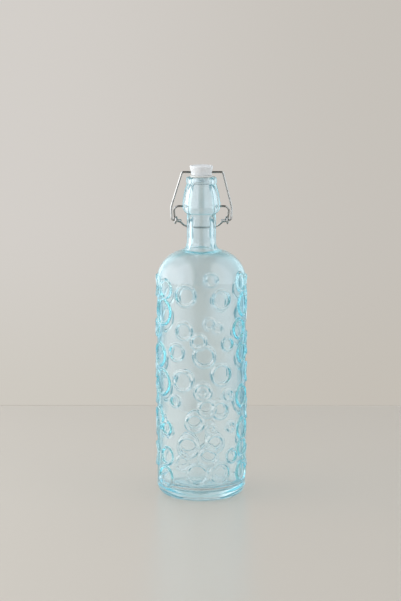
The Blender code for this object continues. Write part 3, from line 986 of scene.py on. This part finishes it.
def leverSide(side):
    # from the tip in the dimple, round the eye, to the middle of the handle
    tipX = glass["bulgeRadius"] - glass["dimpleDepth"] + wire["clearance"]
    eyeBack = eye.y + lever["eyeRadius"]
    arm = bentPath(
        [
            (tipX, 0.0, pivot.z),
            (leverWidest, 0.0, pivot.z),
            (eyeOuter, eyeBack, eye.z + lever["eyeRadius"]),
            (eyeOuter, eyeBack, eye.z),
        ],
        [lever["bend"], lever["bend"]],
    )
    coil = []
    for i in range(1, lever["eyeSteps"]):
        angle = 2 * math.pi * i / lever["eyeSteps"]
        coil.append(Vector((
            eyeOuter - eyePitch * i / lever["eyeSteps"],
            eye.y + lever["eyeRadius"] * math.cos(angle),
            eye.z - lever["eyeRadius"] * math.sin(angle),
        )))
    tail = lever["eyeTailShare"] * lever["eyeRadius"]
    handleY = glass["neckRadius"] + lever["handleStandoff"]
    drop = eye.z - (pivot.z - lever["handleDrop"])
    corners = [(eyeInner, eyeBack, eye.z), (eyeInner, eyeBack, eye.z - tail)]
    for across, back, down in lever["handlePath"]:
        corners.append((across * eyeInner, back * handleY, eye.z - down * drop))
    handle = bentPath(corners, [tail] + [lever["handleBend"]] * (len(corners) - 3))
    return [Vector((side * spot.x, spot.y, spot.z)) for spot in arm + coil + handle]


def makeLeverPath():
    return leverSide(-1) + leverSide(1)[-2::-1]


addPiece(
    "bailWire", wireMesh("bailWire", makeBailPath()), drawnSteel("bailSteel", bail["finish"]),
    "bail", "bail_wire",
)
addPiece(
    "leverWire", wireMesh("leverWire", makeLeverPath()), drawnSteel("leverSteel", lever["finish"]),
    "lever", "lever_wire",
)
print("Wires bent")


# Table and cards

table = {
    "back": 0.375,
    "front": -2.6,
    "halfWidth": 1.6,
    "color": (0.605, 0.57, 0.515, 1.0),
    "cloudShade": 0.97,
    "cloudScale": 3.0,
    "cloudDetail": 2.0,
    "paintedLightThroughGlass": (0.69, 0.655, 0.62, 1.0),       # its colour as glass passes it on, painted lighter: painted light that comes through the glass
    "roughness": 0.32,
    "edgeShadeColor": (0.53, 0.50, 0.45, 1.0),           # a thin darker line along its far edge, a sheet that glows with a fixed colour: painted shade
    "edgeHeight": 0.0011,
}

# Dark cards low down, behind the bottle at both sides: sheets that glow with a fixed dark teal,
# painted dark refraction
cards = {
    "place": 0.34,
    "depth": (0.085, 1.0),
    "height": (-0.15, 0.165),
    "color": (0.00, 0.21, 0.27, 1.0),
}


def paleTable():
    material, tree, shader = newMaterial("paleTable")
    shader.inputs["Roughness"].default_value = table["roughness"]
    shade = tuple(table["cloudShade"] * part for part in table["color"][:3]) + (1.0,)
    cloud = noiseOf(tree, table["cloudScale"], table["cloudDetail"])
    color = mixColors(tree, cloud.outputs["Fac"], table["color"], shade)
    # painted light: seen through the glass, the table is lighter
    paintedLightThroughGlass = addNode(tree, "ShaderNodeLightPath").outputs["Is Transmission Ray"]
    seen = mixColors(tree, paintedLightThroughGlass, color, table["paintedLightThroughGlass"])
    tree.links.new(seen, shader.inputs["Base Color"])
    return material


def flatGlow(name, color):
    material = newMaterial(name)[0]
    tree = material.node_tree
    light = addNode(tree, "ShaderNodeEmission")
    light.inputs["Color"].default_value = color
    tree.links.new(light.outputs["Emission"], tree.nodes["Material Output"].inputs["Surface"])
    return material


def addSheet(name, corners, material, hiddenFrom):
    # a flat sheet of four corners that some kinds of rays don't see
    mesh = newMesh(name, corners, [(0, 1, 2, 3)])
    mesh.materials.append(material)
    sheet = bpy.data.objects.new(name, mesh)
    for kind in hiddenFrom:
        setattr(sheet, "visible_" + kind, False)
    bpy.context.scene.collection.objects.link(sheet)


def makeTable():
    half, front, back, top = (table[key] for key in ("halfWidth", "front", "back", "edgeHeight"))
    flat = [(-half, front, 0.0), (half, front, 0.0), (half, back, 0.0), (-half, back, 0.0)]
    edge = [(-half, back, 0.0), (half, back, 0.0), (half, back, top), (-half, back, top)]
    addSheet("table", flat, paleTable(), [])
    # painted shade: a thin dark sheet glowing along the table's far edge, which only the camera
    # sees
    addSheet(
        "tableEdgeShade", edge, flatGlow("tableEdgeShade", table["edgeShadeColor"]),
        ["diffuse", "glossy", "transmission", "shadow"],
    )


def addPaintedCard(name, side):
    # only what bends through the glass shows it, as painted dark teal edges and crescents
    x, (near, far), (foot, top) = side * cards["place"], cards["depth"], cards["height"]
    addSheet(
        name, [(x, near, foot), (x, far, foot), (x, far, top), (x, near, top)],
        flatGlow(name, cards["color"]), ["camera", "diffuse", "glossy", "shadow"],
    )


makeTable()
addPaintedCard("cardLeft", -1)
addPaintedCard("cardRight", 1)
print("Table and cards set")


# Room, as the world shows it: directions run from -1 to 1 along each axis. A pair of numbers is
# where something starts and where it is full, and a pair of colours is left and right.

room = {
    # the backdrop, lighter at the left: painted light from the left lamp; it is darker near its
    # foot
    "wall": ((0.655, 0.625, 0.590, 1.0), (0.565, 0.535, 0.492, 1.0)),
    "wallFoot": ((0.615, 0.585, 0.530, 1.0), (0.555, 0.520, 0.465, 1.0)),
    "footHeight": (-0.12, -0.23),
    "wallBlend": 0.11,                          # half the width where left turns into right
    "dark": (0.11, 0.115, 0.115, 1.0),          # the ceiling and the room behind the camera
    "tintedDark": (0.14, 0.46, 0.52, 1.0),      # that room as glass passes it on, painted lighter and teal
    "ceiling": (0.30, 0.62),
    "behindCamera": (-0.60, -0.92),
    "middle": (0.54, 0.53, 0.505, 1.0),         # the wall in the middle as glass passes it on, painted darker: a painted shade stripe
    "pale": ((0.635, 0.64, 0.64, 1.0), (0.56, 0.59, 0.60, 1.0)),        # the wall beside it, painted paler and bluer: painted light
    "paleBlend": 0.03,
    "beside": (0.0, 0.06),
    "highWall": (0.46, 0.60, 0.62, 1.0),        # the wall's top and the ceiling as glass passes them on, painted lighter and bluer
    "high": (0.14, 0.40),
    "sheen": ((1.35, 1.60, 1.70, 1.0), (1.10, 1.35, 1.45, 1.0)),        # white side screens
    "front": ((3.0, 3.1, 3.4, 1.0), (2.4, 2.5, 2.6, 1.0)),      # their ends towards the camera
    "through": ((1.15, 1.28, 1.32, 1.0), (0.68, 0.78, 0.81, 1.0)),      # as glass passes them on, in painted colours of their own
    "veil": ((1.15, 1.25, 1.30, 1.0), (0.80, 0.94, 1.00, 1.0)),     # and after a reflection in it: a painted veil of light
    "screens": (0.24, 0.50),
    "screenEnds": (0.15, -0.15),
    "screenBlend": 0.1,
    "lampGlow": (4.2, 4.3, 4.4, 1.0),           # the brightest part of the left screen
    "lampSide": (-0.62, -0.92),
    "lampHeight": (-0.35, 0.15),
    "fill": 0.55,
    "fillColor": (0.98, 0.99, 1.0, 1.0),
}


def leftToRight(tree, x, colors, blend):
    return mixColors(tree, smoothMask(tree, x, -blend, blend), *colors)


def glossColor(tree, axes, wall, toCamera, toSide):
    # what gloss sees: white screens at both sides of a darker room
    x, y, z = axes
    sheen = leftToRight(tree, x, room["sheen"], room["screenBlend"])
    front = leftToRight(tree, x, room["front"], room["screenBlend"])
    toFront = joinMath(tree, "MULTIPLY", toSide, smoothMask(tree, y, *room["screenEnds"]))
    lampSide = smoothMask(tree, x, *room["lampSide"])
    glow = joinMath(tree, "MULTIPLY", lampSide, smoothMask(tree, z, *room["lampHeight"]))
    color = mixColors(tree, toCamera, wall, room["dark"])
    color = mixColors(tree, smoothMask(tree, z, *room["ceiling"]), color, room["dark"])
    color = mixColors(tree, toSide, color, sheen)
    color = mixColors(tree, toFront, color, front)
    return mixColors(tree, glow, color, room["lampGlow"])


def paintedThroughColor(tree, axes, offMiddle, toCamera, toSide, reflected):
    # what glass passes on, painted apart from what the camera sees: the wall with a painted shade
    # stripe in its middle, softer painted-light sides, a tinted dark and the screens
    x, z = axes[0], axes[2]
    pale = leftToRight(tree, x, room["pale"], room["paleBlend"])
    through = leftToRight(tree, x, room["through"], room["screenBlend"])
    veil = leftToRight(tree, x, room["veil"], room["screenBlend"])
    color = mixColors(tree, smoothMask(tree, offMiddle, *room["beside"]), room["middle"], pale)
    color = mixColors(tree, toCamera, color, room["tintedDark"])
    color = mixColors(tree, smoothMask(tree, z, *room["high"]), color, room["highWall"])
    return mixColors(tree, toSide, color, mixColors(tree, reflected, through, veil))


def makeRoom():
    world = bpy.data.worlds.new("studio")
    world.use_nodes = True
    bpy.context.scene.world = world
    tree = world.node_tree
    tree.nodes.clear()
    output = addNode(tree, "ShaderNodeOutputWorld")
    place = addNode(tree, "ShaderNodeTexCoord")
    split = addNode(tree, "ShaderNodeSeparateXYZ")
    tree.links.new(place.outputs["Generated"], split.inputs["Vector"])
    axes = [split.outputs[axis] for axis in "XYZ"]
    x, y, z = axes
    offMiddle = joinMath(tree, "ABSOLUTE", x, 0.0)
    toCamera = smoothMask(tree, y, *room["behindCamera"])
    toSide = smoothMask(tree, offMiddle, *room["screens"])
    wall = leftToRight(tree, x, room["wall"], room["wallBlend"])
    wallFoot = leftToRight(tree, x, room["wallFoot"], room["wallBlend"])
    wall = mixColors(tree, smoothMask(tree, z, *room["footHeight"]), wall, wallFoot)
    rays = addNode(tree, "ShaderNodeLightPath").outputs
    # a depth over a half is one bounce or more
    reflected = joinMath(tree, "GREATER_THAN", rays["Glossy Depth"], 0.5)
    inGlass = joinMath(tree, "GREATER_THAN", rays["Transmission Depth"], 0.5)
    inGlass = joinMath(tree, "MULTIPLY", inGlass, rays["Is Glossy Ray"])
    fromGlass = joinMath(tree, "MAXIMUM", rays["Is Transmission Ray"], inGlass)
    gloss = glossColor(tree, axes, wall, toCamera, toSide)
    through = paintedThroughColor(tree, axes, offMiddle, toCamera, toSide, reflected)
    shown = backgroundOf(tree, room["fillColor"], room["fill"])
    shown = chooseShader(tree, rays["Is Glossy Ray"], shown, backgroundOf(tree, gloss, 1.0))
    shown = chooseShader(tree, fromGlass, shown, backgroundOf(tree, through, 1.0))
    shown = chooseShader(tree, rays["Is Camera Ray"], shown, backgroundOf(tree, wall, 1.0))
    tree.links.new(shown, output.inputs["Surface"])


makeRoom()
print("Room built")


# Lamps

softboxes = {
    "aim": (0.0, 0.0, 0.15),
    "left": {"spot": (-1.25, -0.15, 0.75), "width": 1.5, "height": 1.3, "power": 19.0},
    "right": {"spot": (1.35, -0.45, 0.75), "width": 1.3, "height": 1.3, "power": 8.0},
}


def addSoftbox(name, box):
    lamp = bpy.data.lights.new(name, "AREA")
    lamp.shape = "RECTANGLE"
    lamp.size = box["width"]
    lamp.size_y = box["height"]
    lamp.energy = box["power"]
    aim = Vector(softboxes["aim"]) - Vector(box["spot"])
    holder = bpy.data.objects.new(name, lamp)
    holder.location = box["spot"]
    holder.rotation_euler = aim.to_track_quat("-Z", "Y").to_euler()
    holder.visible_glossy = False       # gloss and glass see the room's screens instead
    holder.visible_transmission = False
    bpy.context.scene.collection.objects.link(holder)


addSoftbox("softboxLeft", softboxes["left"])
addSoftbox("softboxRight", softboxes["right"])
print("Lamps hung")


# Camera, at the photograph's angle

view = {
    "distance": 1.867,
    "height": 0.5018,
    "lookDown": 9.6,
    "sensorWidth": 36.0,
    "focalPixels": 2000.0,
    "imageHeight": 601,
    "axisPixel": 201.4,
    "middlePixel": 200.5,
}

camera = bpy.data.objects.new("camera", bpy.data.cameras.new("camera"))
bpy.context.scene.collection.objects.link(camera)
camera.location = (0.0, -view["distance"], view["height"])
camera.rotation_euler = (math.radians(90 - view["lookDown"]), 0.0, 0.0)
camera.data.sensor_width = view["sensorWidth"]
camera.data.lens = view["sensorWidth"] * view["focalPixels"] / view["imageHeight"]
camera.data.shift_x = (view["middlePixel"] - view["axisPixel"]) / view["imageHeight"]
bpy.context.scene.camera = camera
bpy.context.scene.view_settings.view_transform = "Standard"
print("Camera set")
